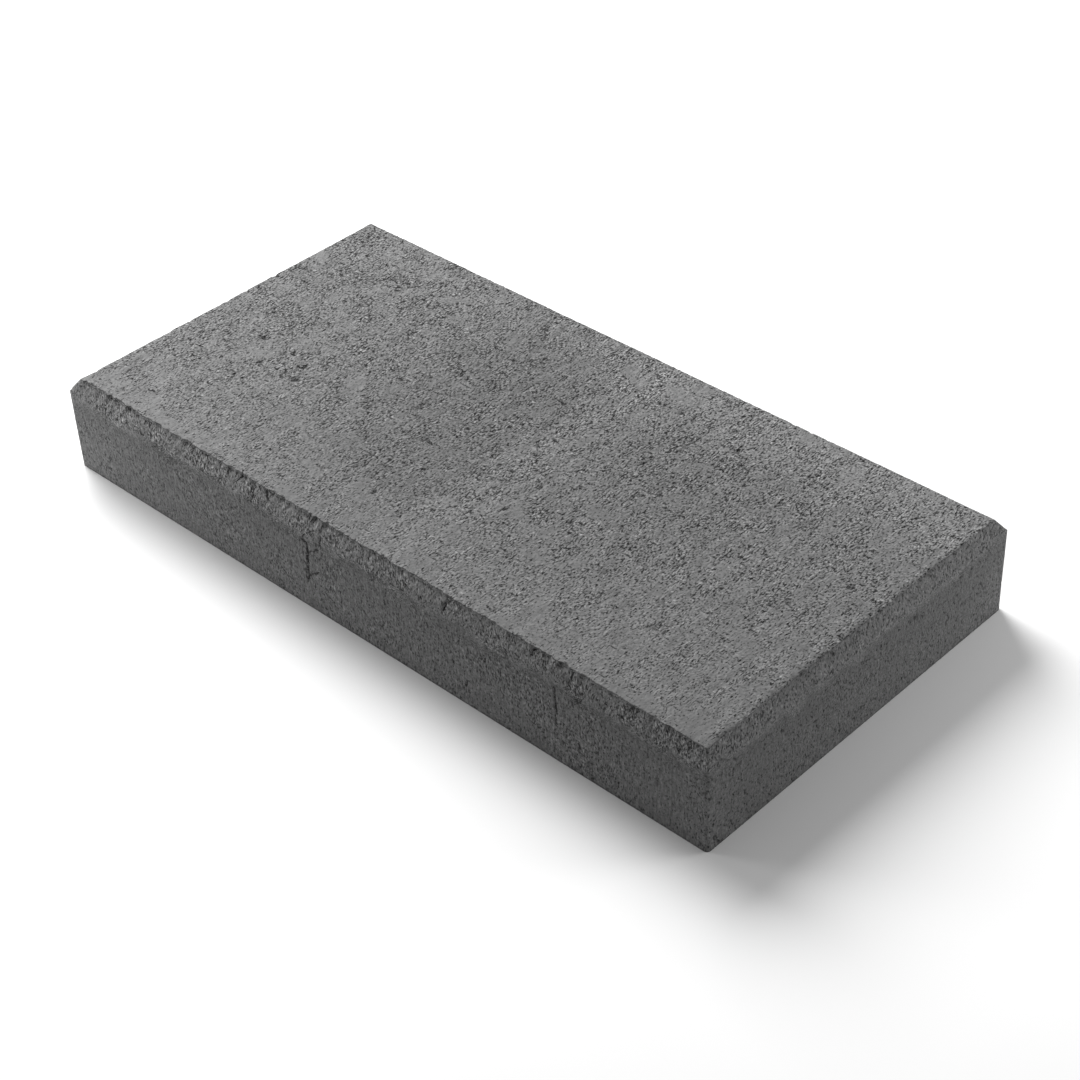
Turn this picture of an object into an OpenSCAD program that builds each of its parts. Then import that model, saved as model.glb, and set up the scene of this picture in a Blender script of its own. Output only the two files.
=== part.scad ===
// Rectangular dry-pressed concrete paving stone.
//
// One solid unit, 2:1 in plan, with a bevelled arris round its tread face
// and slightly eased upright corners. Millimetres. The origin is the centre
// of the bed face; +X runs along the length, +Y across the width, +Z up to
// the tread face.

/* [Unit] */
// Length of the unit, along X
unit_l = 400; // [200:1:600]
// Width of the unit, along Y
unit_w = 200; // [100:1:300]
// Thickness from the bed face to the tread face
unit_t = 50; // [30:1:80]

/* [Edges] */
// Bevel of the top arris, measured in from each side
bevel_in = 5; // [2:0.5:10]
// Bevel of the top arris, measured down from the tread face
bevel_down = 7; // [2:0.5:12]
// Radius of the four upright corners
corner_r = 2; // [0.5:0.5:6]

/* [Finish] */
// Colour of the concrete
unit_colour = "dimgray"; // [dimgray, gray, darkgray, slategray]

/* [Hidden] */
$fn = 64;

half_l = unit_l / 2;
half_w = unit_w / 2;
// How far each bevel cutter reaches past the unit's own faces
clear = 20;
bevel_slope = bevel_down / bevel_in;

// Plan of the unit: a rectangle with eased corners.
module plan() {
    union() {
        square([unit_l - 2 * corner_r, unit_w], center = true);
        square([unit_l, unit_w - 2 * corner_r], center = true);
        for (x = [-1, 1], y = [-1, 1])
            translate([x * (half_l - corner_r), y * (half_w - corner_r)])
                circle(r = corner_r);
    }
}

// A wedge that planes the top arris of one side. The side lies at y = 0 with
// the stone on the -Y side of it, and run is the length of that side.
module bevel_cutter(run) {
    rotate([90, 0, 90])
        linear_extrude(height = run + 2 * clear, center = true)
            polygon([
                [-bevel_in - clear / bevel_slope, unit_t + clear],
                [clear / bevel_slope, unit_t - bevel_down - clear],
                [clear / bevel_slope, unit_t + clear]
            ]);
}

// The unit, cast as one piece.
module paving_stone() {
    color(unit_colour)
        difference() {
            linear_extrude(height = unit_t) plan();
            for (side = [0, 180])
                rotate([0, 0, side]) {
                    translate([0, half_w, 0]) bevel_cutter(unit_l);
                    rotate([0, 0, 90]) translate([0, half_l, 0]) bevel_cutter(unit_w);
                }
        }
}

paving_stone();
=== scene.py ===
import math

import bpy
import numpy as np
from mathutils import Matrix, Vector
from mathutils.kdtree import KDTree


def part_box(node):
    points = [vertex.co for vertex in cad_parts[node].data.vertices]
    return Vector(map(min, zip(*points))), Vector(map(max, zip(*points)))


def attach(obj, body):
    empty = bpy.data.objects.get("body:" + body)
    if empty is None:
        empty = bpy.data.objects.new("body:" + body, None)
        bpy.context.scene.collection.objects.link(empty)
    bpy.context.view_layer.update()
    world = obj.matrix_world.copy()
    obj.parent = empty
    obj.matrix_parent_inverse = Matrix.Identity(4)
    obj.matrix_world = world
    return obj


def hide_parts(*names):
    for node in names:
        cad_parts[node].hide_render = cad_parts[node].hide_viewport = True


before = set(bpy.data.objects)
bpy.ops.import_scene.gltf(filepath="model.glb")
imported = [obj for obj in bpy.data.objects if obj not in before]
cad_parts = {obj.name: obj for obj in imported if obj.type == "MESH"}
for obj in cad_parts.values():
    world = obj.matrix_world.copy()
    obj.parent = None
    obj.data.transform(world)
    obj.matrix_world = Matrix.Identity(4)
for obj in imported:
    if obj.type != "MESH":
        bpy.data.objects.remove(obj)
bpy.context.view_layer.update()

# ---------------------------------------------------------------------------
# Sizes, in millimetres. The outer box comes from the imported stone.
# ---------------------------------------------------------------------------
LOW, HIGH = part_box("paving_stone")
HALF_L = (HIGH.x - LOW.x) * 500.0
HALF_W = (HIGH.y - LOW.y) * 500.0
THICK = (HIGH.z - LOW.z) * 1000.0
BEVEL_IN, BEVEL_DOWN, CORNER_R = 5.0, 7.0, 2.0

BEVEL_ROWS = 7        # cells across each bevel
TREAD_CELL = 1.2      # cell of the tread face
SIDE_ROWS = 29        # cells up each side
BED_CELL = 6.0        # cell of the bed face, which lies on the ground
SEED = 20417


# ---------------------------------------------------------------------------
# Seeded noise
# ---------------------------------------------------------------------------
def lattice(ix, iy, iz, seed):
    """A repeatable 32-bit number for each lattice point."""
    with np.errstate(over="ignore"):
        h = (
            ix.astype(np.uint32) * np.uint32(374761393)
            + iy.astype(np.uint32) * np.uint32(668265263)
            + iz.astype(np.uint32) * np.uint32(2246822519)
            + np.uint32(seed) * np.uint32(3266489917)
        )
        h = (h ^ (h >> np.uint32(15))) * np.uint32(2246822519)
        h = (h ^ (h >> np.uint32(13))) * np.uint32(3266489917)
        return h ^ (h >> np.uint32(16))


GRADS = np.array(
    [
        (1, 1, 0), (-1, 1, 0), (1, -1, 0), (-1, -1, 0),
        (1, 0, 1), (-1, 0, 1), (1, 0, -1), (-1, 0, -1),
        (0, 1, 1), (0, -1, 1), (0, 1, -1), (0, -1, -1),
        (1, 1, 0), (-1, 1, 0), (0, -1, 1), (0, -1, -1),
    ],
    float,
)


def perlin(p, seed):
    """Gradient noise at points p, about -1 to 1."""
    base = np.floor(p).astype(np.int64)
    f = p - base
    w = f * f * f * (f * (f * 6 - 15) + 10)
    total = np.zeros(len(p))
    for dx in (0, 1):
        for dy in (0, 1):
            for dz in (0, 1):
                g = GRADS[
                    lattice(base[:, 0] + dx, base[:, 1] + dy, base[:, 2] + dz, seed)
                    & np.uint32(15)
                ]
                dot = (
                    g[:, 0] * (f[:, 0] - dx)
                    + g[:, 1] * (f[:, 1] - dy)
                    + g[:, 2] * (f[:, 2] - dz)
                )
                weight = (
                    (w[:, 0] if dx else 1 - w[:, 0])
                    * (w[:, 1] if dy else 1 - w[:, 1])
                    * (w[:, 2] if dz else 1 - w[:, 2])
                )
                total += weight * dot
    return total


def fbm(p, wave, octaves, seed, gain=0.5, stretch=(1, 1, 1)):
    """Octaves of noise whose longest wave is wave millimetres, stretched along the axes."""
    q = p / (wave * np.array(stretch, float))
    total, amp, most = np.zeros(len(p)), 1.0, 0.0
    for k in range(octaves):
        total += amp * perlin(q * 2**k + 17.31 * (k + 1), seed + k)
        most += amp
        amp *= gain
    return total / most


def step(low, high, x):
    t = np.clip((x - low) / (high - low), 0, 1)
    return t * t * (3 - 2 * t)


# ---------------------------------------------------------------------------
# The stone's closed mesh: a grid over the tread and its bevels, a grid round
# the sides, and a coarser bed.
# ---------------------------------------------------------------------------
def spaced(half, finer=()):
    """Lattice lines across the stone: close together on the bevels, and also beside
    the places named in finer, as (centre, half width, cell)."""
    inner = half - BEVEL_IN
    stops = [-inner]
    while stops[-1] < inner - 0.3:
        cell = TREAD_CELL
        for at, reach, small in finer:
            if abs(stops[-1] + 0.5 * small - at) < reach:
                cell = small
        stops.append(stops[-1] + cell)
    stops = np.array(stops)
    stops = -inner + (stops + inner) * (2 * inner / (stops[-1] + inner))
    return np.concatenate(
        [
            np.linspace(-half, -inner, BEVEL_ROWS + 1)[:-1],
            stops,
            np.linspace(inner, half, BEVEL_ROWS + 1)[1:],
        ]
    )


def eased(x, y):
    """Plan points moved so that the square corners become round ones."""
    cx, cy = HALF_L - CORNER_R, HALF_W - CORNER_R
    u, v = np.abs(x) - cx, np.abs(y) - cy
    corner = (u > 0) & (v > 0)
    m = np.maximum(u, v)
    length = np.hypot(u, v)
    k = np.where(corner, m / np.where(corner, length, 1), 1)
    return (
        np.where(corner, np.sign(x) * (cx + u * k), x),
        np.where(corner, np.sign(y) * (cy + v * k), y),
    )


def top_of(x, y):
    """Height of the tread and of the bevels round it."""
    tx = (np.abs(x) - (HALF_L - BEVEL_IN)) / BEVEL_IN
    ty = (np.abs(y) - (HALF_W - BEVEL_IN)) / BEVEL_IN
    return THICK - BEVEL_DOWN * np.clip(np.maximum(tx, ty), 0, 1)


# cracks in the -Y side, as (x, z) points along each, with a strength; a crack of the second
# group may meet one of the first
CRACKS = (
    (
        (((-33.1, 38.3), (-30.3, 38), (-30.8, 30.4), (-31.3, 24.6), (-31.6, 19.2), (-32.5, 14.4)), 0.85),
        (((20.4, 38), (19.3, 33.6), (18.4, 27), (18.1, 20.3)), 0.42),
        (((18, 19.5), (15.1, 14.4)), 0.6),
        (((119, 40), (118.8, 33.5), (119.9, 28.5), (118.8, 22.7), (119.1, 16.7)), 0.75),
        (((79.4, 32.7), (79.3, 30)), 0.7),
        (((78.9, 22.3), (78.5, 19.4)), 0.7),
        (((67.5, 13.7), (66.9, 10.7)), 0.6),
        (((60.4, 35.2), (60.7, 31.4)), 0.7),
        (((59.2, 21.7), (60.1, 19.5)), 0.6),
        (((132.2, 27.3), (132.6, 25.4)), 0.8),
        (((131.5, 16.9), (131.9, 15)), 0.8),
        (((153, 9), (152.6, 5)), 0.6),
        (((56.2, 49.5), (54.6, 47.3), (54.3, 45.2)), 0.95),
        (((103.8, 49.2), (103.9, 47)), 0.95),
        (((110.8, 47.2), (111, 46)), 0.7),
        (((125.6, 48.8), (126.1, 46)), 0.8),
        (((136.7, 46.7), (135.2, 43.7), (132.5, 39.3)), 0.55),
        (((157.5, 49.6), (157.6, 48.6), (154.4, 44.7)), 0.8),
        (((160.2, 48.9), (159.7, 47.4)), 0.6),
        (((187.1, 49.4), (188.4, 46.3)), 0.65),
        (((-67.7, 48), (-66.8, 45), (-66.5, 43.3), (-69.6, 41.6)), 0.75),
        (((-60.8, 49.6), (-57.3, 46.4)), 0.7),
        (((-76.8, 49.4), (-79.3, 46.2)), 0.55),
        (((-74.4, 42.1), (-74.8, 38.4)), 0.5),
        (((14.9, 44.9), (15.1, 43)), 0.85),
        (((13.5, 40.5), (11.3, 38.7)), 0.65),
    ),
    (
        (((-23.6, 47.2), (-22.4, 45), (-20.9, 43.5), (-20.7, 39.2), (-25.8, 35.3), (-30.2, 32.4)), 0.6),
        (((-31.2, 19), (-27.9, 21.4), (-24, 24.1)), 0.7),
        (((-33, 39.8), (-30.8, 42.3), (-26.8, 45.2)), 0.5),
        (((-33.8, 25.4), (-31.5, 22.9)), 0.8),
    ),
)
# short fissures in the tread, as centre x and y, length and direction in degrees
FISSURES = (
    (75.6, 73.6, 6, 48), (-64.3, -32.3, 6, 150), (-160.6, -79, 5, 7), (-30, -22.8, 4.5, 154),
    (58, -61.8, 4.5, 102), (-143.8, 67.8, 5, 143), (10.5, -53.7, 5.5, 79), (-133, -13.8, 4.5, 133),
    (118, 69.5, 5, 60), (30.5, -37.4, 5, 70),
)
# the larger hollows of the tread, as centre x and y, length, width and direction
HOLLOWS = (
    (-115.6, -28.4, 5.6, 3.2, 43), (-154.6, -14, 4.9, 3, 154), (-49.3, 73.2, 5, 1.9, 65),
    (-140.3, -28.8, 3.6, 2.4, 93), (-120.6, -18, 3.8, 2.5, 80), (79.3, 62.5, 4, 2.6, 80),
    (69.4, 72.8, 3.6, 2.5, 109), (40.9, -30.7, 3.8, 2.1, 20), (-103.3, 33.5, 4.2, 2.2, 25),
    (-135, 71.5, 3.8, 2.3, 112), (-155.9, 10.4, 3.6, 2, 52), (-4, 84.2, 3.4, 2.2, 75),
    (9.4, 73, 3, 2.2, 13), (-43.5, -46.6, 3.5, 1.9, 32), (40.9, 69, 4.3, 2.5, 62),
)
# chips under the lip of the -Y side, as x, length and radius, and scuffed places, as x, z
# and half their length and height
CHIPS = (
    (-190, 8, 0.8), (-179.5, 5, 1.25), (-173.5, 5, 1.35), (-161, 8, 1.05), (-149.5, 7, 0.9),
    (-140.5, 3, 0.9), (-134.5, 4, 1.0), (-124, 4, 1.1), (-115, 4.5, 1.25), (-107, 3, 0.8),
    (-102, 2.5, 1.0), (-95.5, 4, 1.0), (-89, 5, 0.85), (-82, 3, 0.9), (-76.5, 2.6, 1.15),
    (-70, 4, 0.9), (-60.5, 2.8, 1.25), (-50, 2.5, 0.85), (-39, 6, 0.9), (-29, 2.4, 1.1),
    (-20, 4, 0.9), (-11, 4, 0.85), (-3.5, 4, 1.0), (9.5, 4, 0.9), (19.5, 4, 0.95), (29, 3, 1.1),
    (37, 2.5, 0.85), (50, 3, 0.85), (65, 3, 0.85), (79, 3, 0.9), (91, 3, 0.9), (99.5, 3, 0.9),
    (104, 3, 1.2), (111, 6, 0.95), (124, 2.5, 0.9), (138, 2.2, 0.9), (146, 2.5, 0.9),
    (157.5, 3, 1.15), (167, 4, 0.95), (176, 4, 0.8), (184, 3, 0.9), (190, 3.5, 0.85),
)
SCUFFS = (
    (-165, 43.5, 24, 3), (-133, 46, 8, 3), (-95, 44.3, 11, 3.8), (-70, 44, 6, 5), (-36, 44, 12, 3.8),
    (-15, 46, 6, 3), (12.5, 42.5, 9, 5), (28.5, 45, 5, 3.5), (84, 44, 10, 3), (130, 43, 6, 5),
    (157, 45.5, 9, 3.5), (183, 46.5, 10, 3),
)
FINER = ((-27.5, 6.5, 0.6), (18.4, 1.6, 0.6), (55, 1.4, 0.6), (119.1, 1.6, 0.6))
xs, ys = spaced(HALF_L, FINER), spaced(HALF_W)
nx, ny = len(xs) - 1, len(ys) - 1
gx, gy = np.meshgrid(xs, ys)
gx, gy = eased(gx.ravel(), gy.ravel())
top_points = np.stack([gx, gy, top_of(gx, gy)], 1)


def top_id(i, j):
    return j * (nx + 1) + i


points = [top_points]
quads, quad_part = [], []
TOP, SIDE_X, SIDE_Y, BED = range(4)
for j in range(ny):
    for i in range(nx):
        q = [top_id(i, j), top_id(i + 1, j), top_id(i + 1, j + 1), top_id(i, j + 1)]
        # the split of each cell follows the mitre where two bevels meet
        if (i < nx / 2) != (j < ny / 2):
            q = q[1:] + q[:1]
        quads.append(q)
quad_part += [TOP] * len(quads)

# the outline, anticlockwise from the -X -Y corner
outline = (
    [(i, 0) for i in range(nx)]
    + [(nx, j) for j in range(ny)]
    + [(i, ny) for i in range(nx, 0, -1)]
    + [(0, j) for j in range(ny, 0, -1)]
)
ring = [top_id(i, j) for i, j in outline]
around = len(ring)
rim = top_points[ring]
start = len(top_points)
rows = [ring]
for k in range(1, SIDE_ROWS + 1):
    down = 1 - k / SIDE_ROWS
    level = rim.copy()
    level[:, 2] = rim[:, 2] * down
    points.append(level)
    rows.append(list(range(start, start + around)))
    start += around
for k in range(SIDE_ROWS):
    for a in range(around):
        b = (a + 1) % around
        quads.append([rows[k][a], rows[k + 1][a], rows[k + 1][b], rows[k][b]])
        along_x = a < nx or nx + ny <= a < 2 * nx + ny
        quad_part.append(SIDE_Y if along_x else SIDE_X)

# the bed: a coarse field and a strip of triangles that joins it to the outline
inset = 3.0
bx = np.linspace(-HALF_L + inset, HALF_L - inset, round(2 * (HALF_L - inset) / BED_CELL) + 1)
by = np.linspace(-HALF_W + inset, HALF_W - inset, round(2 * (HALF_W - inset) / BED_CELL) + 1)
mx, my = len(bx) - 1, len(by) - 1
px, py = np.meshgrid(bx, by)
points.append(np.stack([px.ravel(), py.ravel(), np.zeros(px.size)], 1))


def bed_id(i, j):
    return start + j * (mx + 1) + i


for j in range(my):
    for i in range(mx):
        quads.append([bed_id(i, j), bed_id(i, j + 1), bed_id(i + 1, j + 1), bed_id(i + 1, j)])
quad_part += [BED] * (mx * my)
inner_ring = (
    [bed_id(i, 0) for i in range(mx)]
    + [bed_id(mx, j) for j in range(my)]
    + [bed_id(i, my) for i in range(mx, 0, -1)]
    + [bed_id(0, j) for j in range(my, 0, -1)]
)
outer_at = np.array(
    [i / nx for i in range(nx)]
    + [1 + j / ny for j in range(ny)]
    + [2 + i / nx for i in range(nx)]
    + [3 + j / ny for j in range(ny)]
    + [4.0]
)
inner_at = np.array(
    [i / mx for i in range(mx)]
    + [1 + j / my for j in range(my)]
    + [2 + i / mx for i in range(mx)]
    + [3 + j / my for j in range(my)]
    + [4.0]
)
a = b = 0
foot = rows[-1]
tris = []
while a < around or b < len(inner_ring):
    o0, n0 = foot[a % around], inner_ring[b % len(inner_ring)]
    if b >= len(inner_ring) or (a < around and outer_at[a + 1] <= inner_at[b + 1]):
        tris.append([o0, n0, foot[(a + 1) % around]])
        a += 1
    else:
        tris.append([o0, n0, inner_ring[(b + 1) % len(inner_ring)]])
        b += 1
base = np.concatenate(points)
faces = quads + tris
part = np.array(quad_part + [BED] * len(tris))

mesh = bpy.data.meshes.new("stone_body")
mesh.from_pydata((base * 0.001).tolist(), [], faces)
mesh.update()
normal = np.empty(len(base) * 3)
mesh.vertex_normals.foreach_get("vector", normal)
normal = normal.reshape(-1, 3)

# ---------------------------------------------------------------------------
# Where each point lies on the stone
# ---------------------------------------------------------------------------
X, Y, Z = base.T
count = len(base)
on_bed = np.zeros(count, bool)
on_bed[start:] = True
on_bed[foot] = True
# distance inside the tread from its arris, and below the bevel's foot
inside = np.minimum(HALF_L - BEVEL_IN - np.abs(X), HALF_W - BEVEL_IN - np.abs(Y))
top_face = np.zeros(count, bool)
top_face[: len(top_points)] = True
tread = np.where(top_face, step(-0.9, 0.3, inside), 0.0)
bevel = np.where(top_face, 1 - tread, 0.0)
upper = np.where(top_face, 1.0, step(THICK - BEVEL_DOWN - 16, THICK - BEVEL_DOWN, Z))
side = np.where(top_face | on_bed, 0.0, 1.0)

# ---------------------------------------------------------------------------
# Relief, in millimetres along the surface's normal
# ---------------------------------------------------------------------------
rng = np.random.default_rng(SEED)
relief = np.zeros(count)
# painted shade in the pits, chips and hollows, 0 to 1; it darkens the colour
cavity_shade = np.zeros(count)

# closed, trowelled patches: a ragged band along the -Y edge of the tread, its
# corners, and a few islands in the field
edge_reach = 10 - 0.02 * X + 30 * fbm(base, 38, 3, SEED + 13, gain=0.6)
edge_band = step(1.6, 0.0, (HALF_W - BEVEL_IN + Y) / np.maximum(edge_reach, 3)) * tread
from_corner = np.hypot(HALF_L - BEVEL_IN - np.abs(X), HALF_W - BEVEL_IN + Y)
near_corner = np.where(X > 0, 0.24 * step(46, 6, from_corner), 0.14 * step(28, 4, from_corner)) * tread
patches = fbm(base, 13, 4, SEED + 11, gain=0.7, stretch=(1.2, 1, 1))
smooth = 0.86 * step(-0.05, 0.6, 1.25 * patches + 0.30 * edge_band + near_corner - 0.02)
calm = 0.76 + 0.24 * step(-95, 10, Y) - 0.10 * step(20, 190, X) * step(10, -80, Y)
smooth = 1 - (1 - smooth) * calm
smooth = np.where(tread > 0, smooth * tread, 0)
rough = 1 - smooth

# gentle waviness of the struck face
relief += 0.16 * fbm(base, 60, 2, SEED + 3) * tread
relief += 0.07 * fbm(base, 8, 2, SEED + 5) * tread * smooth

# open sandy grain: the finest that the mesh holds, and a little above it
speck = rng.uniform(-1, 1, count)
grain = fbm(base, 2.9, 1, SEED + 23, stretch=(0.9, 2.8, 1))
relief += (0.035 * speck + 0.13 * grain) * tread * (0.2 + 0.8 * rough)
long_side = (np.abs(Y) - HALF_W > np.abs(X) - HALF_L).astype(float)
scuff = 0.85 * step(0.0, 0.34, fbm(base, 15, 3, SEED + 37) + 0.5 * (upper - 0.85))
scuff = scuff * (0.35 + 0.65 * long_side) * (0.45 + 0.55 * step(1, 12, HALF_L - np.abs(X) * long_side))
ragged = 0.55 * fbm(base, 6, 2, SEED + 43, gain=0.7)
for x, z, half_x, half_z in SCUFFS:
    spot = step(1.25, 0.45, np.hypot((X - x) / half_x, (Z - z) / half_z) + ragged)
    scuff = np.maximum(scuff, np.where(Y < -HALF_W + BEVEL_IN + 0.1, 0.9 * spot, 0))
relief += (0.2 * speck + fbm(base, 3.6, 2, SEED + 29, gain=0.8) * 0.45) * bevel * (0.2 + 0.8 * scuff)
# the sides were drawn from the mould: faint upright drag marks
drag = fbm(base, 3.0, 2, SEED + 31, gain=0.8, stretch=(1, 1, 9))
relief += drag * side * 0.1
relief += (0.12 * speck + 0.16 * fbm(base, 3.4, 1, SEED + 41)) * side * scuff

tree = KDTree(count)
for n, p in enumerate(base):
    tree.insert(p, n)
tree.balance()


def pit(centre, radius, depth, along=None, ratio=1.0, power=0.8, ragged=0.3, dark=1.0):
    """Presses a hollow into the surface round a point, and paints shade into it, as strong as dark."""
    found = tree.find_range(centre, radius * max(1.0, ratio))
    ids = np.array([f[1] for f in found], int)
    if not len(ids):
        return
    d = base[ids] - np.array(centre)
    dist2 = (d**2).sum(1)
    if along is not None and ratio != 1.0:
        lead = d @ np.array(along)
        dist2 = dist2 - lead**2 * (1 - 1 / ratio**2)
    r = np.sqrt(np.maximum(dist2, 0)) / radius
    r = r * (1 + ragged * perlin(base[ids] / 1.7, SEED + 57))
    shape = np.clip(1 - r * r, 0, 1) ** power
    relief[ids] -= depth * shape
    cavity_shade[ids] = np.maximum(cavity_shade[ids], dark * np.clip(depth / 0.9, 0.25, 1) * shape)


area = np.zeros(count)
sizes = np.empty(len(mesh.polygons))
mesh.polygons.foreach_get("area", sizes)
for q, s in zip(faces, sizes, strict=True):
    for v in q:
        area[v] += s
clusters = 0.5 + 0.9 * fbm(base, 21, 2, SEED + 61, stretch=(0.7, 1.6, 1))


def scattered(density, how_many):
    weight = area * np.clip(density, 0, None)
    return rng.choice(count, how_many, replace=False, p=weight / weight.sum())


def scatter(density, how_many, radius, depth, axis, ratio, dark=1.0):
    for n in scattered(density, how_many):
        r = rng.uniform(*radius)
        a = rng.normal(0, 0.5)
        ax = np.array(axis, float)
        turn = np.cross(normal[n], ax)
        way = ax * math.cos(a) + turn * math.sin(a)
        pit(
            base[n] + rng.normal(0, 0.3, 3), r, rng.uniform(*depth), way,
            rng.uniform(*ratio), dark=dark,
        )


open_field = tread * rough * np.clip(clusters, 0.1, 2)
scatter(open_field, 420, (0.65, 0.9), (0.25, 0.5), (0, 1, 0), (1.3, 2.6), 0.7)
scatter(open_field, 40, (0.9, 1.25), (0.6, 0.9), (0, 1, 0), (1.4, 2.4))
scatter(open_field, 40, (0.7, 0.95), (0.6, 0.9), (0, 1, 0), (3.0, 5.0))
scatter(tread * smooth, 110, (0.7, 1.0), (0.3, 0.6), (0, 1, 0), (1.0, 1.6))
scatter(bevel * (0.1 + scuff), 420, (0.7, 1.0), (0.3, 0.7), (1, 0, 0), (1.0, 1.4), 0.5)
scatter(side * (0.15 + scuff), 340, (0.7, 1.0), (0.3, 0.6), (0, 0, 1), (1.0, 1.6), 0.5)
scatter(side * (0.3 + scuff), 30, (1.1, 1.6), (0.6, 0.9), (0, 0, 1), (1.0, 1.8))
scatter(side * (1 - long_side), 260, (0.7, 1.0), (0.55, 0.9), (0, 0, 1), (1.0, 1.4))
end_arris = np.where(top_face & (np.abs(inside + 0.2) < 1.4) & (np.abs(X) > HALF_L - 9), 1.0, 0.0)
end_arris = end_arris * step(4, 16, HALF_W - np.abs(Y)) * np.where(X > 0, 1, 0.15)
scatter(end_arris * np.clip(clusters, 0.1, 2) ** 2, 100, (0.65, 1.0), (0.35, 0.8), (0, 1, 0), (1.0, 1.6))
scatter(side * (1 - long_side), 80, (1.0, 1.35), (0.6, 0.95), (0, 0, 1), (1.0, 1.3))

for x, y, length, width, way in HOLLOWS:
    way = math.radians(way)
    pit((x, y, THICK), 0.62 * width, 0.95, (math.cos(way), math.sin(way), 0), length / width, ragged=0.6, dark=0.78)

# the top arris: a crumbled lip along the long sides, only rubbed at the ends
lip = np.zeros((count, 3))
for axis, half, other, amounts, ends in (
    (1, HALF_W, 0, (1.0, 0.25), HALF_L - BEVEL_IN),
    (0, HALF_L, 1, (0.06, 0.16), HALF_W - BEVEL_IN),
):
    for sign, amount in zip((-1, 1), amounts):
        run = base[:, other]
        along = np.stack([run, np.full(count, 40.0 * sign + 7 * axis), np.zeros(count)], 1)
        jag = 0.45 + 1.0 * perlin(along / 3.1, SEED + 71) + 0.9 * perlin(along / 1.63, SEED + 73)
        wide = 1 + 1.0 * perlin(along / 14.0, SEED + 79)
        near = step(0, 5, ends - np.abs(run)) * amount
        # the long lips are more broken towards the -X end
        lead = run / ends * (axis == 1)
        fade = near * (1 - 0.2 * lead - 0.25 * np.clip(lead, 0, 1))
        out = np.where(top_face, sign * base[:, axis] - (half - BEVEL_IN), -99)
        # the edge itself steps back unevenly, and the bevel starts below it
        back_off = np.clip(jag * wide, 0.0, 1.0) * fade
        pull = step(-5.0, -0.1, out) * step(3.2, 0.8, out)
        lip[:, axis] -= sign * back_off * pull
        broken_up = 0.3 + 1.1 * perlin(base / 2.3, SEED + 75)
        bite = np.clip(0.05 + 0.5 * jag * wide + 0.5 * broken_up, 0.0, 1.1) * fade
        drop = bite * step(0.15, 0.6, out) * step(2.6, 0.7, out) * 0.7
        lip[:, 2] -= drop
        lip[:, axis] -= sign * drop * 0.3
        # painted shade under the lip, a dark line in the cavity layer
        lip_shade = np.clip(0.34 * near + bite * 0.28, 0, 0.64)
        cavity_shade = np.maximum(cavity_shade, lip_shade * step(0.15, 0.6, out) * step(1.4, 0.7, out))

# chips out of the lip of the -Y side, and two pinholes below it, with painted shade in them
for at, length, radius in CHIPS:
    pit(
        (at, -HALF_W + BEVEL_IN - 0.5, THICK - 0.6), radius, 0.55 * radius, (1, 0, 0),
        0.5 * length / radius, dark=0.9,
    )
for at, level in ((-53.2, 44.5), (145.4, 43.9)):
    pit((at, -HALF_W + (level - THICK + BEVEL_DOWN) / BEVEL_DOWN * BEVEL_IN, level), 0.9, 0.8)

# the arrises of the two ends are rubbed round
from_end = HALF_W - np.abs(Y) - (HALF_L - np.abs(X))
rub = np.clip(1 - np.abs(HALF_L - BEVEL_IN - np.abs(X)) / 2.4, 0, 1) ** 2 * step(0, 6, from_end)
relief -= np.where(X > 0, 0.5, 0.2) * rub * top_face * (1 + 0.7 * perlin(base / 4.3, SEED + 83))


def clefts(flat, group, on_face):
    """Signed distance to the nearest crack of a group, and how strong the crack is there."""
    nearest, signed, strength = np.full(count, 99.0), np.full(count, 3.0), np.zeros(count)
    for route, force in group:
        route = [np.array(r, float) for r in route]
        for n, (p, q) in enumerate(zip(route, route[1:])):
            d = q - p
            length = np.hypot(*d)
            t = ((flat - p) @ d) / length**2
            dist = np.hypot(*(flat - p - np.clip(t, 0, 1)[:, None] * d).T)
            # past the two ends of the whole crack it fades out
            past = np.zeros(count)
            if n == 0:
                past = np.maximum(past, -t * length)
            if n == len(route) - 2:
                past = np.maximum(past, (t - 1) * length)
            closer = dist < nearest
            nearest = np.where(closer, dist, nearest)
            left = d[0] * (flat - p)[:, 1] - d[1] * (flat - p)[:, 0]
            signed = np.where(closer, np.where(left < 0, -1.0, 1.0) * np.minimum(dist, 3), signed)
            strength = np.where(closer, step(1.2, 0.0, past) * force, strength)
    strength = np.where(on_face & (nearest < 2.2), strength, 0.0)
    relief[:] -= 0.9 * strength**2 * np.clip(1 - (nearest / 0.8) ** 2, 0, 1)
    return signed, strength


wobble = np.stack([0.5 * perlin(base / 2.9, SEED + 91), 0.5 * perlin(base / 2.7, SEED + 93)], 1)
on_face = (Y < -HALF_W + 5) & ~on_bed & ~(tread > 0.5)
cleft_a, cleft_a_on = clefts(base[:, [0, 2]] + wobble, CRACKS[0], on_face)
cleft_b, cleft_b_on = clefts(base[:, [0, 2]] + wobble, CRACKS[1], on_face)
lines = []
for x, y, length, way in FISSURES:
    way = math.radians(way)
    reach = 0.5 * length * np.array((math.cos(way), math.sin(way)))
    bend = 0.16 * np.array((-reach[1], reach[0])) * (1 if len(lines) % 2 else -1)
    centre = np.array((x, y))
    lines.append(((centre - reach, centre + bend, centre + reach), 0.75))
signed, strength = clefts(base[:, :2] + 1.6 * wobble, lines, tread > 0.5)
cleft_a = np.where(tread > 0.5, signed, cleft_a)
cleft_a_on = np.where(tread > 0.5, strength, cleft_a_on)

relief[on_bed] = 0
cavity_shade[on_bed] = 0
# nothing stands proud of the stone's own faces by more than a sand grain
relief = np.minimum(relief, 0.18)

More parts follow.
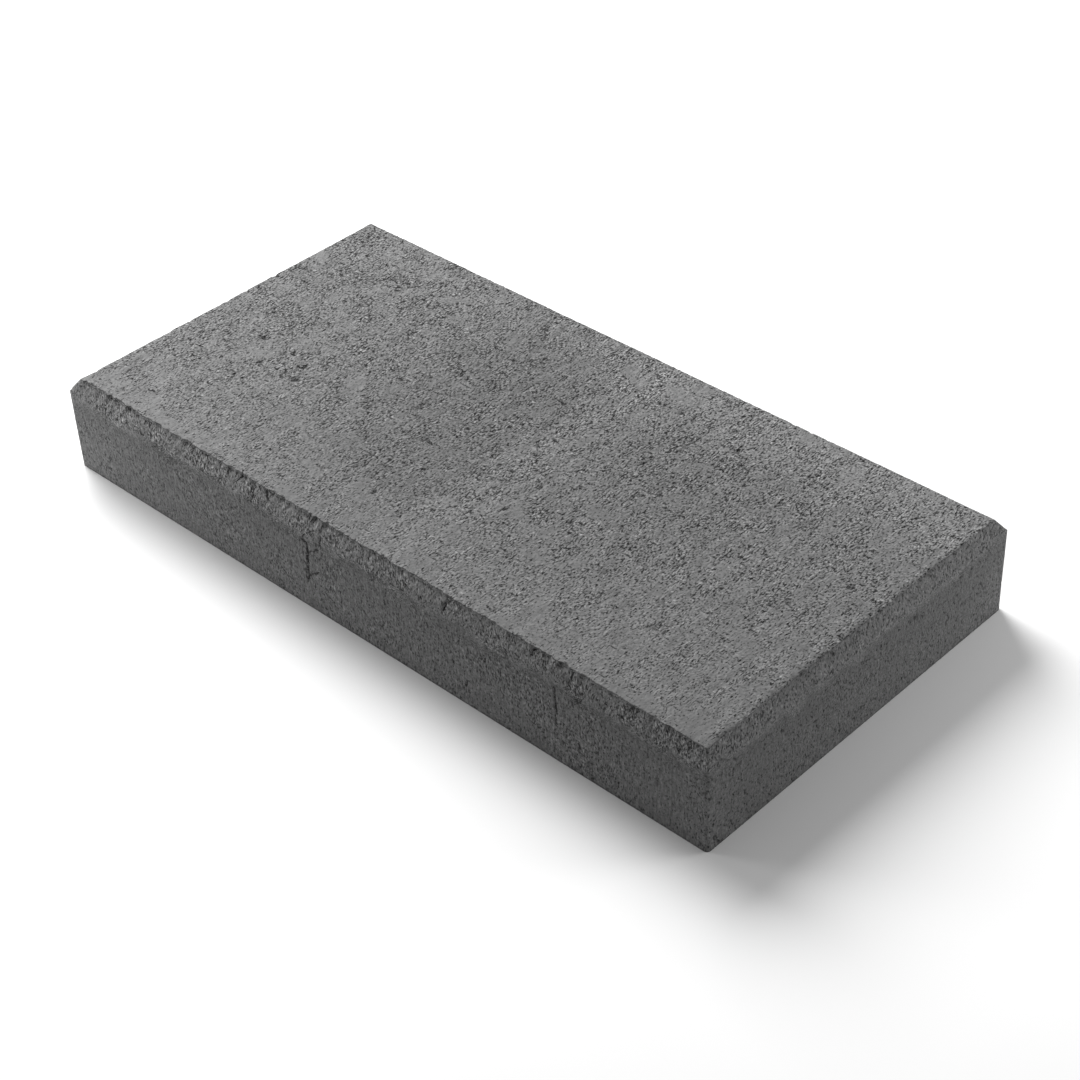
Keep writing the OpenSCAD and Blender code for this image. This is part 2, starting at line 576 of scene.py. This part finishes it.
moved = base + normal * relief[:, None] + lip
moved[:, 2] = np.maximum(moved[:, 2], 0.0)
mesh.vertices.foreach_set("co", (moved * 0.001).astype(np.float32).ravel())
mesh.update()

on_tread = (top_face & (inside > -0.01)).astype(float)
for name, values in (
    ("cavity_shade", cavity_shade), ("smooth_patch", smooth), ("scuff", scuff), ("on_tread", on_tread),
    ("cleft_a", cleft_a), ("cleft_a_on", cleft_a_on), ("cleft_b", cleft_b), ("cleft_b_on", cleft_b_on),
):
    layer = mesh.attributes.new(name, "FLOAT", "POINT")
    layer.data.foreach_set("value", values.astype(np.float32))

# ---------------------------------------------------------------------------
# Texture map: one island per face, with most room for the faces that show
# ---------------------------------------------------------------------------
PX = 1.0 / 1024.0
DENSE, LOOSE = 2.22 * PX, 1.62 * PX
loops = np.empty(len(mesh.loops), int)
mesh.loops.foreach_get("vertex_index", loops)
totals = np.empty(len(mesh.polygons), int)
mesh.polygons.foreach_get("loop_total", totals)
loop_part = np.repeat(part, totals)
centre = np.zeros((len(faces), 3))
for n, q in enumerate(faces):
    centre[n] = base[q].mean(0)
loop_face = np.repeat(np.arange(len(faces)), totals)
lx, ly, lz = base[loops].T
cx, cy = centre[loop_face][:, 0], centre[loop_face][:, 1]
u, v = np.zeros(len(loops)), np.zeros(len(loops))
LEFT, GAP = 4 * PX, 5 * PX
face_h = 2 * HALF_W * DENSE
strip_h = (THICK + 3) * DENSE
sel = loop_part == TOP
u[sel] = LEFT + (lx[sel] + HALF_L) * DENSE
v[sel] = LEFT + (ly[sel] + HALF_W) * DENSE
for sign, row in ((-1, 0), (1, 1)):
    sel = (loop_part == SIDE_Y) & (np.sign(cy) == sign)
    u[sel] = LEFT + (lx[sel] + HALF_L) * DENSE
    v[sel] = LEFT + face_h + GAP + row * (strip_h + GAP) + lz[sel] * DENSE
for sign, row in ((-1, 0), (1, 1)):
    sel = (loop_part == SIDE_X) & (np.sign(cx) == sign)
    u[sel] = LEFT + 2 * HALF_L * DENSE + GAP + lz[sel] * DENSE
    v[sel] = LEFT + row * (face_h + GAP) + (ly[sel] + HALF_W) * DENSE
sel = loop_part == BED
u[sel] = LEFT + (lx[sel] + HALF_L) * LOOSE
v[sel] = LEFT + face_h + 3 * GAP + 2 * strip_h + (ly[sel] + HALF_W) * LOOSE
uv = mesh.uv_layers.new(name="OFBake")
uv.data.foreach_set("uv", np.stack([u, v], 1).astype(np.float32).ravel())
mesh.polygons.foreach_set("use_smooth", np.ones(len(faces), bool))
# the lip of the long sides is a crisp edge
on_lip = np.zeros(count, bool)
for i in range(BEVEL_ROWS, nx - BEVEL_ROWS + 1):
    on_lip[top_id(i, BEVEL_ROWS)] = on_lip[top_id(i, ny - BEVEL_ROWS)] = True
ends = np.empty(len(mesh.edges) * 2, int)
mesh.edges.foreach_get("vertices", ends)
crisp = mesh.attributes.new("sharp_edge", "BOOLEAN", "EDGE")
crisp.data.foreach_set("value", on_lip[ends.reshape(-1, 2)].all(1))
mesh.update()

stone = bpy.data.objects.new("stone_body", mesh)
bpy.context.scene.collection.objects.link(stone)
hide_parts("paving_stone")
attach(stone, "root")


# ---------------------------------------------------------------------------
# Concrete
# ---------------------------------------------------------------------------
class Tree:
    """Short names for the shader nodes used below."""

    def __init__(self, material):
        material.use_nodes = True
        self.t = material.node_tree
        self.t.nodes.clear()

    def put(self, kind, **settings):
        n = self.t.nodes.new(kind)
        for k, v in settings.items():
            setattr(n, k, v)
        return n

    def feed(self, socket, value):
        if isinstance(value, bpy.types.NodeSocket):
            self.t.links.new(value, socket)
        else:
            socket.default_value = value

    def math(self, op, a, b=0.0, c=0.0, clamp=False):
        n = self.put("ShaderNodeMath", operation=op, use_clamp=clamp)
        self.feed(n.inputs[0], a)
        self.feed(n.inputs[1], b)
        if op in ("MULTIPLY_ADD",):
            self.feed(n.inputs[2], c)
        return n.outputs[0]

    def span(self, x, low, high, to_low=0.0, to_high=1.0, kind="SMOOTHSTEP"):
        n = self.put("ShaderNodeMapRange", interpolation_type=kind)
        self.feed(n.inputs["Value"], x)
        for name, value in (
            ("From Min", low), ("From Max", high), ("To Min", to_low), ("To Max", to_high),
        ):
            self.feed(n.inputs[name], value)
        return n.outputs[0]

    def mix(self, f, a, b):
        n = self.put("ShaderNodeMix", data_type="FLOAT")
        self.feed(n.inputs[0], f)
        self.feed(n.inputs[2], a)
        self.feed(n.inputs[3], b)
        return n.outputs[0]

    def vector(self, x, y, z):
        n = self.put("ShaderNodeCombineXYZ")
        for socket, value in zip(n.inputs, (x, y, z)):
            self.feed(socket, value)
        return n.outputs[0]

    def scaled(self, vector, scale, offset=(0, 0, 0)):
        n = self.put("ShaderNodeMapping")
        self.feed(n.inputs["Vector"], vector)
        n.inputs["Scale"].default_value = scale
        n.inputs["Location"].default_value = offset
        return n.outputs[0]

    def noise(self, vector, scale, detail=2.0, rough=0.5, warp=0.0):
        n = self.put("ShaderNodeTexNoise")
        self.feed(n.inputs["Vector"], vector)
        n.inputs["Scale"].default_value = scale
        n.inputs["Detail"].default_value = detail
        n.inputs["Roughness"].default_value = rough
        n.inputs["Distortion"].default_value = warp
        return n.outputs["Fac"]

    def attribute(self, name):
        n = self.put("ShaderNodeAttribute", attribute_name=name)
        return n.outputs["Fac"]


GREY = 0.129          # reflectance of the mix

concrete = bpy.data.materials.new("charcoal_concrete")
T = Tree(concrete)
where = T.put("ShaderNodeTexCoord").outputs["Object"]
xyz = T.put("ShaderNodeSeparateXYZ")
T.feed(xyz.inputs[0], where)
px, py, pz = xyz.outputs[0], xyz.outputs[1], xyz.outputs[2]
ax, ay = T.math("ABSOLUTE", px), T.math("ABSOLUTE", py)
sand = T.math("SUBTRACT", T.noise(T.scaled(where, (1.0, 0.7, 1.0)), 1250, 1.0, 0.5), 0.5)
sand_mid = T.math("SUBTRACT", T.noise(T.scaled(where, (1.0, 0.55, 1.0)), 720, 1.0, 0.5), 0.5)
mottle = T.noise(where, 70, 3.0, 0.6)
cloud = T.noise(where, 13, 3.0, 0.5)
m_tread = T.span(T.math("MULTIPLY_ADD", sand_mid, 0.6, T.attribute("on_tread")), 0.55, 0.9)
low = T.math("MULTIPLY_ADD", T.math("SUBTRACT", mottle, 0.5), 0.016, xyz.outputs[2])
m_side = T.span(low, 0.0435, 0.0365)

m_end = T.span(T.math("SUBTRACT", ax, ay), 0.0985, 0.1015)
# the two sides at the back, -X and +Y
m_back = T.mix(m_end, T.span(py, -0.002, 0.002), T.span(px, 0.002, -0.002))
smooth_a = T.math("MULTIPLY", T.attribute("smooth_patch"), m_tread)
cavity_shade_a = T.attribute("cavity_shade")
scuff_a = T.attribute("scuff")

# how open the surface is, 0 to 1: patches of the tread, and clumps on the sides
patchy = T.span(T.noise(T.scaled(where, (1.0, 0.5, 1.0)), 135, 2.0, 0.55), 0.34, 0.64)
open_area = T.math("MULTIPLY", T.math("SUBTRACT", 1.0, smooth_a), T.mix(patchy, 0.58, 1.0))
open_area = T.math("MULTIPLY", open_area, T.span(px, 0.07, 0.19, 1.0, 0.84))
clump = T.span(T.noise(where, 42, 2.0, 0.5), 0.36, 0.64, 0.55, 1.4)
# the long sides are closed towards the +X corners
closing = T.span(px, 0.13, 0.19, 1.0, 0.6)
long_open = T.math("MULTIPLY", T.span(px, -0.2, 0.2, 0.24, 0.36), closing)
side_open = T.math("MULTIPLY", T.mix(m_end, long_open, 0.18), clump)
openness = T.mix(m_side, T.mix(scuff_a, 0.30, 0.80), T.mix(scuff_a, side_open, 0.62))
openness = T.mix(m_tread, openness, open_area)
# marks run across the tread and up the sides
flat = T.math("MAXIMUM", m_tread, T.span(pz, 0.0006, 0.0002))
run = T.vector(
    T.mix(flat, T.math("ADD", px, py), px),
    T.mix(flat, 0.037, py),
    T.mix(flat, T.math("MULTIPLY", pz, T.mix(m_side, 1.0, 0.52)), pz),
)


def grains(scale, stretch, detail, closed, opened, soft, crumb_at=0.62, crumb_soft=0.10):
    """Irregular hollows where a noise field runs below a level that rises with openness,
    painted dark as shade, and pale crumbs where it runs high, partly a painted highlight
    on the grains' tops, each 0 to 1."""
    n = T.noise(T.scaled(run, stretch), scale, detail, 0.55)
    level = T.mix(openness, closed, opened)
    hollow_shade = T.math("DIVIDE", T.math("SUBTRACT", level, n), soft, clamp=True)
    crumb_highlight = T.math("DIVIDE", T.math("SUBTRACT", n, crumb_at), crumb_soft, clamp=True)
    return hollow_shade, T.math("MULTIPLY", crumb_highlight, openness)


# hollows left between the grains, painted dark as shade, and the grains' pale tops, partly a painted highlight, in
# three sizes
void_big, _ = grains(540, (1.0, 0.36, 1.0), 2.0, 0.225, 0.309, 0.04)
void_mid, crumb_mid_highlight = grains(980, (1.0, 0.38, 1.0), 1.0, 0.285, 0.436, 0.05, 0.58, 0.10)
void_fine, crumb_fine_highlight = grains(1500, (1.0, 0.55, 1.0), 0.0, 0.275, 0.445, 0.08, 0.59, 0.13)
fine_pits = T.math("MAXIMUM", T.math("MAXIMUM", void_big, void_mid), T.math("MULTIPLY", void_fine, 0.8))
# the cracks, broken lines of up to about 1 mm, painted dark as the shade in them
broken = T.span(T.noise(where, 260, 2.0, 0.6), 0.36, 0.62, 0.2, 0.85)
for name in ("cleft_a", "cleft_b"):
    off = T.math("ABSOLUTE", T.math("MULTIPLY_ADD", sand_mid, 2.2, T.attribute(name)))
    wide = T.math("MULTIPLY", broken, T.attribute(name + "_on"))
    line = T.math("MULTIPLY", T.math("SUBTRACT", wide, off), 3.5, clamp=True)
    fine_pits = T.math("MAXIMUM", fine_pits, line)

# the tread was combed across its width
comb = T.math("SUBTRACT", T.noise(T.scaled(where, (1.0, 0.19, 1.0)), 340, 1.0, 0.6), 0.5)
comb = T.math("MULTIPLY", comb, T.math("MULTIPLY", m_tread, T.mix(open_area, 0.4, 1.0)))
streak = T.math("SUBTRACT", T.noise(T.scaled(where, (1.0, 1.0, 0.17)), 900, 2.0, 0.6), 0.5)
blotch = T.math("SUBTRACT", T.noise(where, 380, 3.0, 0.8), 0.5)
# a faint pale band across the middle of the tread
band = T.math("ABSOLUTE", T.math("SUBTRACT", T.math("MULTIPLY_ADD", T.math("SUBTRACT", mottle, 0.5), 0.02, px), 0.013))
band = T.math("MULTIPLY", T.span(band, 0.018, 0.002), m_tread)
# darker areas on both sides of it, and a painted paler strip along the +Y edge, where the light from behind falls
drift = T.math("MULTIPLY", T.math("SUBTRACT", mottle, 0.5), 0.03)
at_x, at_y = T.math("ADD", px, drift), T.math("ADD", py, drift)
inner_y = T.math("MULTIPLY", T.span(at_y, -0.08, -0.05), T.span(at_y, 0.09, 0.06))
shade = T.math("MULTIPLY", T.span(at_x, -0.09, -0.05), T.span(at_x, 0.006, -0.006))
shade_right = T.math("MULTIPLY", T.span(at_x, 0.025, 0.05), T.span(at_x, 0.125, 0.09))
shade = T.math("MULTIPLY_ADD", shade_right, 0.35, shade)
shade = T.math("MULTIPLY", T.math("MULTIPLY", shade, inner_y), m_tread)
rear_painted_light = T.span(at_y, 0.035, 0.085)
rear_painted_light = T.math("MULTIPLY", rear_painted_light, T.span(px, -0.08, 0.10, 0.25, 1.0))

# tone: a factor on the grey of the mix
grainy = T.mix(openness, T.mix(m_tread, 0.5, 0.22), 1.0)
tone = T.span(cloud, 0.3, 0.7, T.mix(m_side, 0.97, 0.985), T.mix(m_side, 1.03, 1.015), "LINEAR")
tone = T.math("MULTIPLY", tone, T.span(mottle, 0.25, 0.75, 0.985, 1.015, "LINEAR"))
tone = T.math("MULTIPLY", tone, T.math("MULTIPLY_ADD", sand, T.math("MULTIPLY", grainy, 1.4), 1.0))
tone = T.math("MULTIPLY", tone, T.math("MULTIPLY_ADD", sand_mid, T.math("MULTIPLY", grainy, 0.6), 1.0))
tone = T.math("MULTIPLY", tone, T.math("MULTIPLY_ADD", comb, 1.05, 1.0))
tone = T.math("MULTIPLY", tone, T.math("MULTIPLY_ADD", streak, T.mix(m_side, 0.2, T.mix(m_end, 1.4, 0.62)), 1.0))
blotched = T.mix(m_end, T.math("MULTIPLY", T.mix(m_side, 1.0, closing), 1.4), 0.7)
blotched = T.math("MULTIPLY", blotched, T.mix(m_side, 1.0, clump))
tone = T.math("MULTIPLY", tone, T.math("MULTIPLY_ADD", blotch, T.mix(m_tread, blotched, T.mix(open_area, 0.9, 0.3)), 1.0))
# painted shade on the struck sides, which are darker than the tread: the front sides darker towards the top and paler
# at the foot, against the floor's shade there, the +X end paler than the long side, the long bevel darker towards +X
# and the +X end's bevel darker than the -X end's, as the light falls
bevel_painted_shade = T.mix(m_end, T.span(px, -0.15, 0.17, 0.995, 0.82), T.mix(m_back, 1.11, 0.84))
side_tone_and_painted_shade = T.math("MULTIPLY", T.span(pz, 0.0, 0.036, 0.89, 0.70, "LINEAR"), T.mix(m_end, 1.0, 1.10))
side_tone_and_painted_shade = T.mix(m_back, side_tone_and_painted_shade, T.mix(m_end, 0.80, 0.74))
side_tone_and_painted_shade = T.math("MULTIPLY", side_tone_and_painted_shade, T.span(clump, 0.55, 1.4, 0.98, 1.02, "LINEAR"))
tone = T.math("MULTIPLY", tone, T.mix(m_tread, T.mix(m_side, bevel_painted_shade, side_tone_and_painted_shade), 1.0))
# paler just below the bevel's foot, partly rubbed and partly a painted highlight on the rounded foot; scuffed places
# are dusty
below_foot_highlight = T.math("MULTIPLY", T.math("SUBTRACT", 1.0, m_side), T.span(pz, 0.0435, 0.0425))
tone = T.math("MULTIPLY", tone, T.mix(below_foot_highlight, 1.0, T.mix(T.math("MAXIMUM", m_end, m_back), 1.15, 1.02)))
tone = T.math("MULTIPLY", tone, T.mix(m_tread, T.mix(scuff_a, 0.98, T.mix(m_side, 1.13, 1.08)), 1.0))
# the upright corners are paler: partly rubbed, partly a painted highlight on their rounding
corner_wear_and_highlight = T.math("MINIMUM", T.math("SUBTRACT", ax, 0.198), T.math("SUBTRACT", ay, 0.098))
tone = T.math("MULTIPLY", tone, T.mix(T.span(corner_wear_and_highlight, -0.0008, 0.0012), 1.0, 1.18))
# the closed parts are no paler than the open ones, except towards the -X end
tone = T.math("MULTIPLY", tone, T.mix(m_tread, 1.0, T.mix(open_area, T.span(px, -0.18, -0.03, 1.195, 0.955), 1.21)))
tone = T.math("MULTIPLY", tone, T.mix(band, 1.0, 1.07))
tone = T.math("MULTIPLY", tone, T.mix(shade, 1.0, 0.89))
# painted light along the +Y edge of the tread
tone = T.math("MULTIPLY", tone, T.mix(T.math("MULTIPLY", rear_painted_light, m_tread), 1.0, 1.24))
# painted shade in the pits, voids and cracks
pit_tone = T.mix(m_tread, T.mix(m_side, T.mix(m_end, 0.14, 0.22), 0.22), 0.08)
tone = T.math("MULTIPLY", tone, T.mix(fine_pits, 1.0, pit_tone))
# pale crumbs, partly a painted highlight on the grains' tops
tone = T.math("MULTIPLY", tone, T.math("MULTIPLY_ADD", crumb_mid_highlight, T.mix(m_tread, 0.45, 0.36), 1.0))
tone = T.math("MULTIPLY", tone, T.math("MULTIPLY_ADD", crumb_fine_highlight, T.mix(m_tread, 0.8, 0.68), 1.0))
# painted shade in the pits, chips and under the lip, frayed by the sand
hollow_shade = T.math("MULTIPLY_ADD", T.math("ADD", sand, sand_mid), 1.1, cavity_shade_a)
hollow_shade = T.span(hollow_shade, 0.32, 0.75)
tone = T.math("MULTIPLY", tone, T.mix(hollow_shade, 1.0, 0.36))
grey = T.math("MULTIPLY", tone, GREY)
colour = T.put("ShaderNodeCombineColor")
for socket in colour.inputs[:3]:
    T.feed(socket, grey)

# fine relief in metres, below the size of the mesh's cells
height = T.math("MULTIPLY", fine_pits, -0.0005)
height = T.math("MULTIPLY_ADD", T.math("ADD", crumb_mid_highlight, crumb_fine_highlight), 0.00015, height)
height = T.math("MULTIPLY_ADD", sand, T.math("MULTIPLY", grainy, 0.0007), height)
height = T.math("MULTIPLY_ADD", sand_mid, T.math("MULTIPLY", grainy, 0.0007), height)
height = T.math("MULTIPLY_ADD", comb, 0.0006, height)
height = T.math("MULTIPLY_ADD", streak, T.mix(m_side, 0.0, 0.00022), height)
bump = T.put("ShaderNodeBump")
bump.inputs["Strength"].default_value = 1.0
bump.inputs["Distance"].default_value = 1.0
T.feed(bump.inputs["Height"], height)

rough_out = T.math("MULTIPLY_ADD", T.math("SUBTRACT", mottle, 0.5), 0.12, T.mix(smooth_a, 0.92, 0.82))
shader = T.put("ShaderNodeBsdfPrincipled")
T.feed(shader.inputs["Base Color"], colour.outputs[0])
T.feed(shader.inputs["Roughness"], rough_out)
T.feed(shader.inputs["Normal"], bump.outputs[0])
shader.inputs["Specular IOR Level"].default_value = 0.25
out = T.put("ShaderNodeOutputMaterial")
T.t.links.new(shader.outputs[0], out.inputs["Surface"])
mesh.materials.append(concrete)

# ---------------------------------------------------------------------------
# Floor
# ---------------------------------------------------------------------------
floor_mesh = bpy.data.meshes.new("floor")
floor_mesh.from_pydata(
    [(-12, -12, 0), (12, -12, 0), (12, 12, 0), (-12, 12, 0)], [], [(0, 1, 2, 3)]
)
floor = bpy.data.objects.new("floor", floor_mesh)
bpy.context.scene.collection.objects.link(floor)
pale = bpy.data.materials.new("pale_floor")
pale.use_nodes = True
pale.node_tree.nodes["Principled BSDF"].inputs["Base Color"].default_value = (0.86, 0.86, 0.86, 1)
pale.node_tree.nodes["Principled BSDF"].inputs["Roughness"].default_value = 0.95
pale.node_tree.nodes["Principled BSDF"].inputs["Specular IOR Level"].default_value = 0.1
floor_mesh.materials.append(pale)

# ---------------------------------------------------------------------------
# Light: one broad soft key from behind on the left, and a pale surround
# ---------------------------------------------------------------------------
world = bpy.data.worlds.new("surround")
bpy.context.scene.world = world
world.use_nodes = True
world.node_tree.nodes["Background"].inputs["Color"].default_value = (1, 1, 1, 1)
world.node_tree.nodes["Background"].inputs["Strength"].default_value = 0.28


def area_light(name, place, aim, size, power):
    data = bpy.data.lights.new(name, "AREA")
    data.shape = "DISK"
    data.size = size
    data.energy = power
    lamp = bpy.data.objects.new(name, data)
    lamp.location = place
    lamp.rotation_euler = (Vector(aim) - Vector(place)).to_track_quat("-Z", "Y").to_euler()
    bpy.context.scene.collection.objects.link(lamp)


area_light("key", (-1.15, 0.45, 1.10), (-0.05, 0.0, 0.04), 1.2, 49)
area_light("fill_left", (-0.55, -0.45, 0.16), (-0.2, -0.1, 0.02), 0.30, 2.5)
area_light("fill_right", (0.55, 0.40, 0.17), (0.2, 0.1, 0.02), 0.30, 1.6)

# ---------------------------------------------------------------------------
# Camera, fitted to the stone's corners
# ---------------------------------------------------------------------------
AZ, EL, ROLL = (math.radians(v) for v in (45.1167, 37.8903, -2.6878))
LENGTH = 2 * HALF_L * 0.001
back = Vector((math.sin(AZ) * math.cos(EL), -math.cos(AZ) * math.cos(EL), math.sin(EL)))
right = Vector((math.cos(AZ), math.sin(AZ), 0))
up = back.cross(right)
place = (back * 2.6949 + right * 0.0256 - up * 0.0099) * LENGTH
x_axis = right * math.cos(ROLL) + up * math.sin(ROLL)
y_axis = up * math.cos(ROLL) - right * math.sin(ROLL)
camera_data = bpy.data.cameras.new("camera")
camera_data.sensor_width = 36.0
camera_data.lens = 2314.2051 / 1080.0 * 36.0
camera_data.clip_start = 0.01
camera = bpy.data.objects.new("camera", camera_data)
pose = Matrix((x_axis, y_axis, back)).transposed().to_4x4()
pose.translation = place
camera.matrix_world = pose
bpy.context.scene.collection.objects.link(camera)
bpy.context.scene.camera = camera
bpy.context.scene.view_settings.view_transform = "Standard"
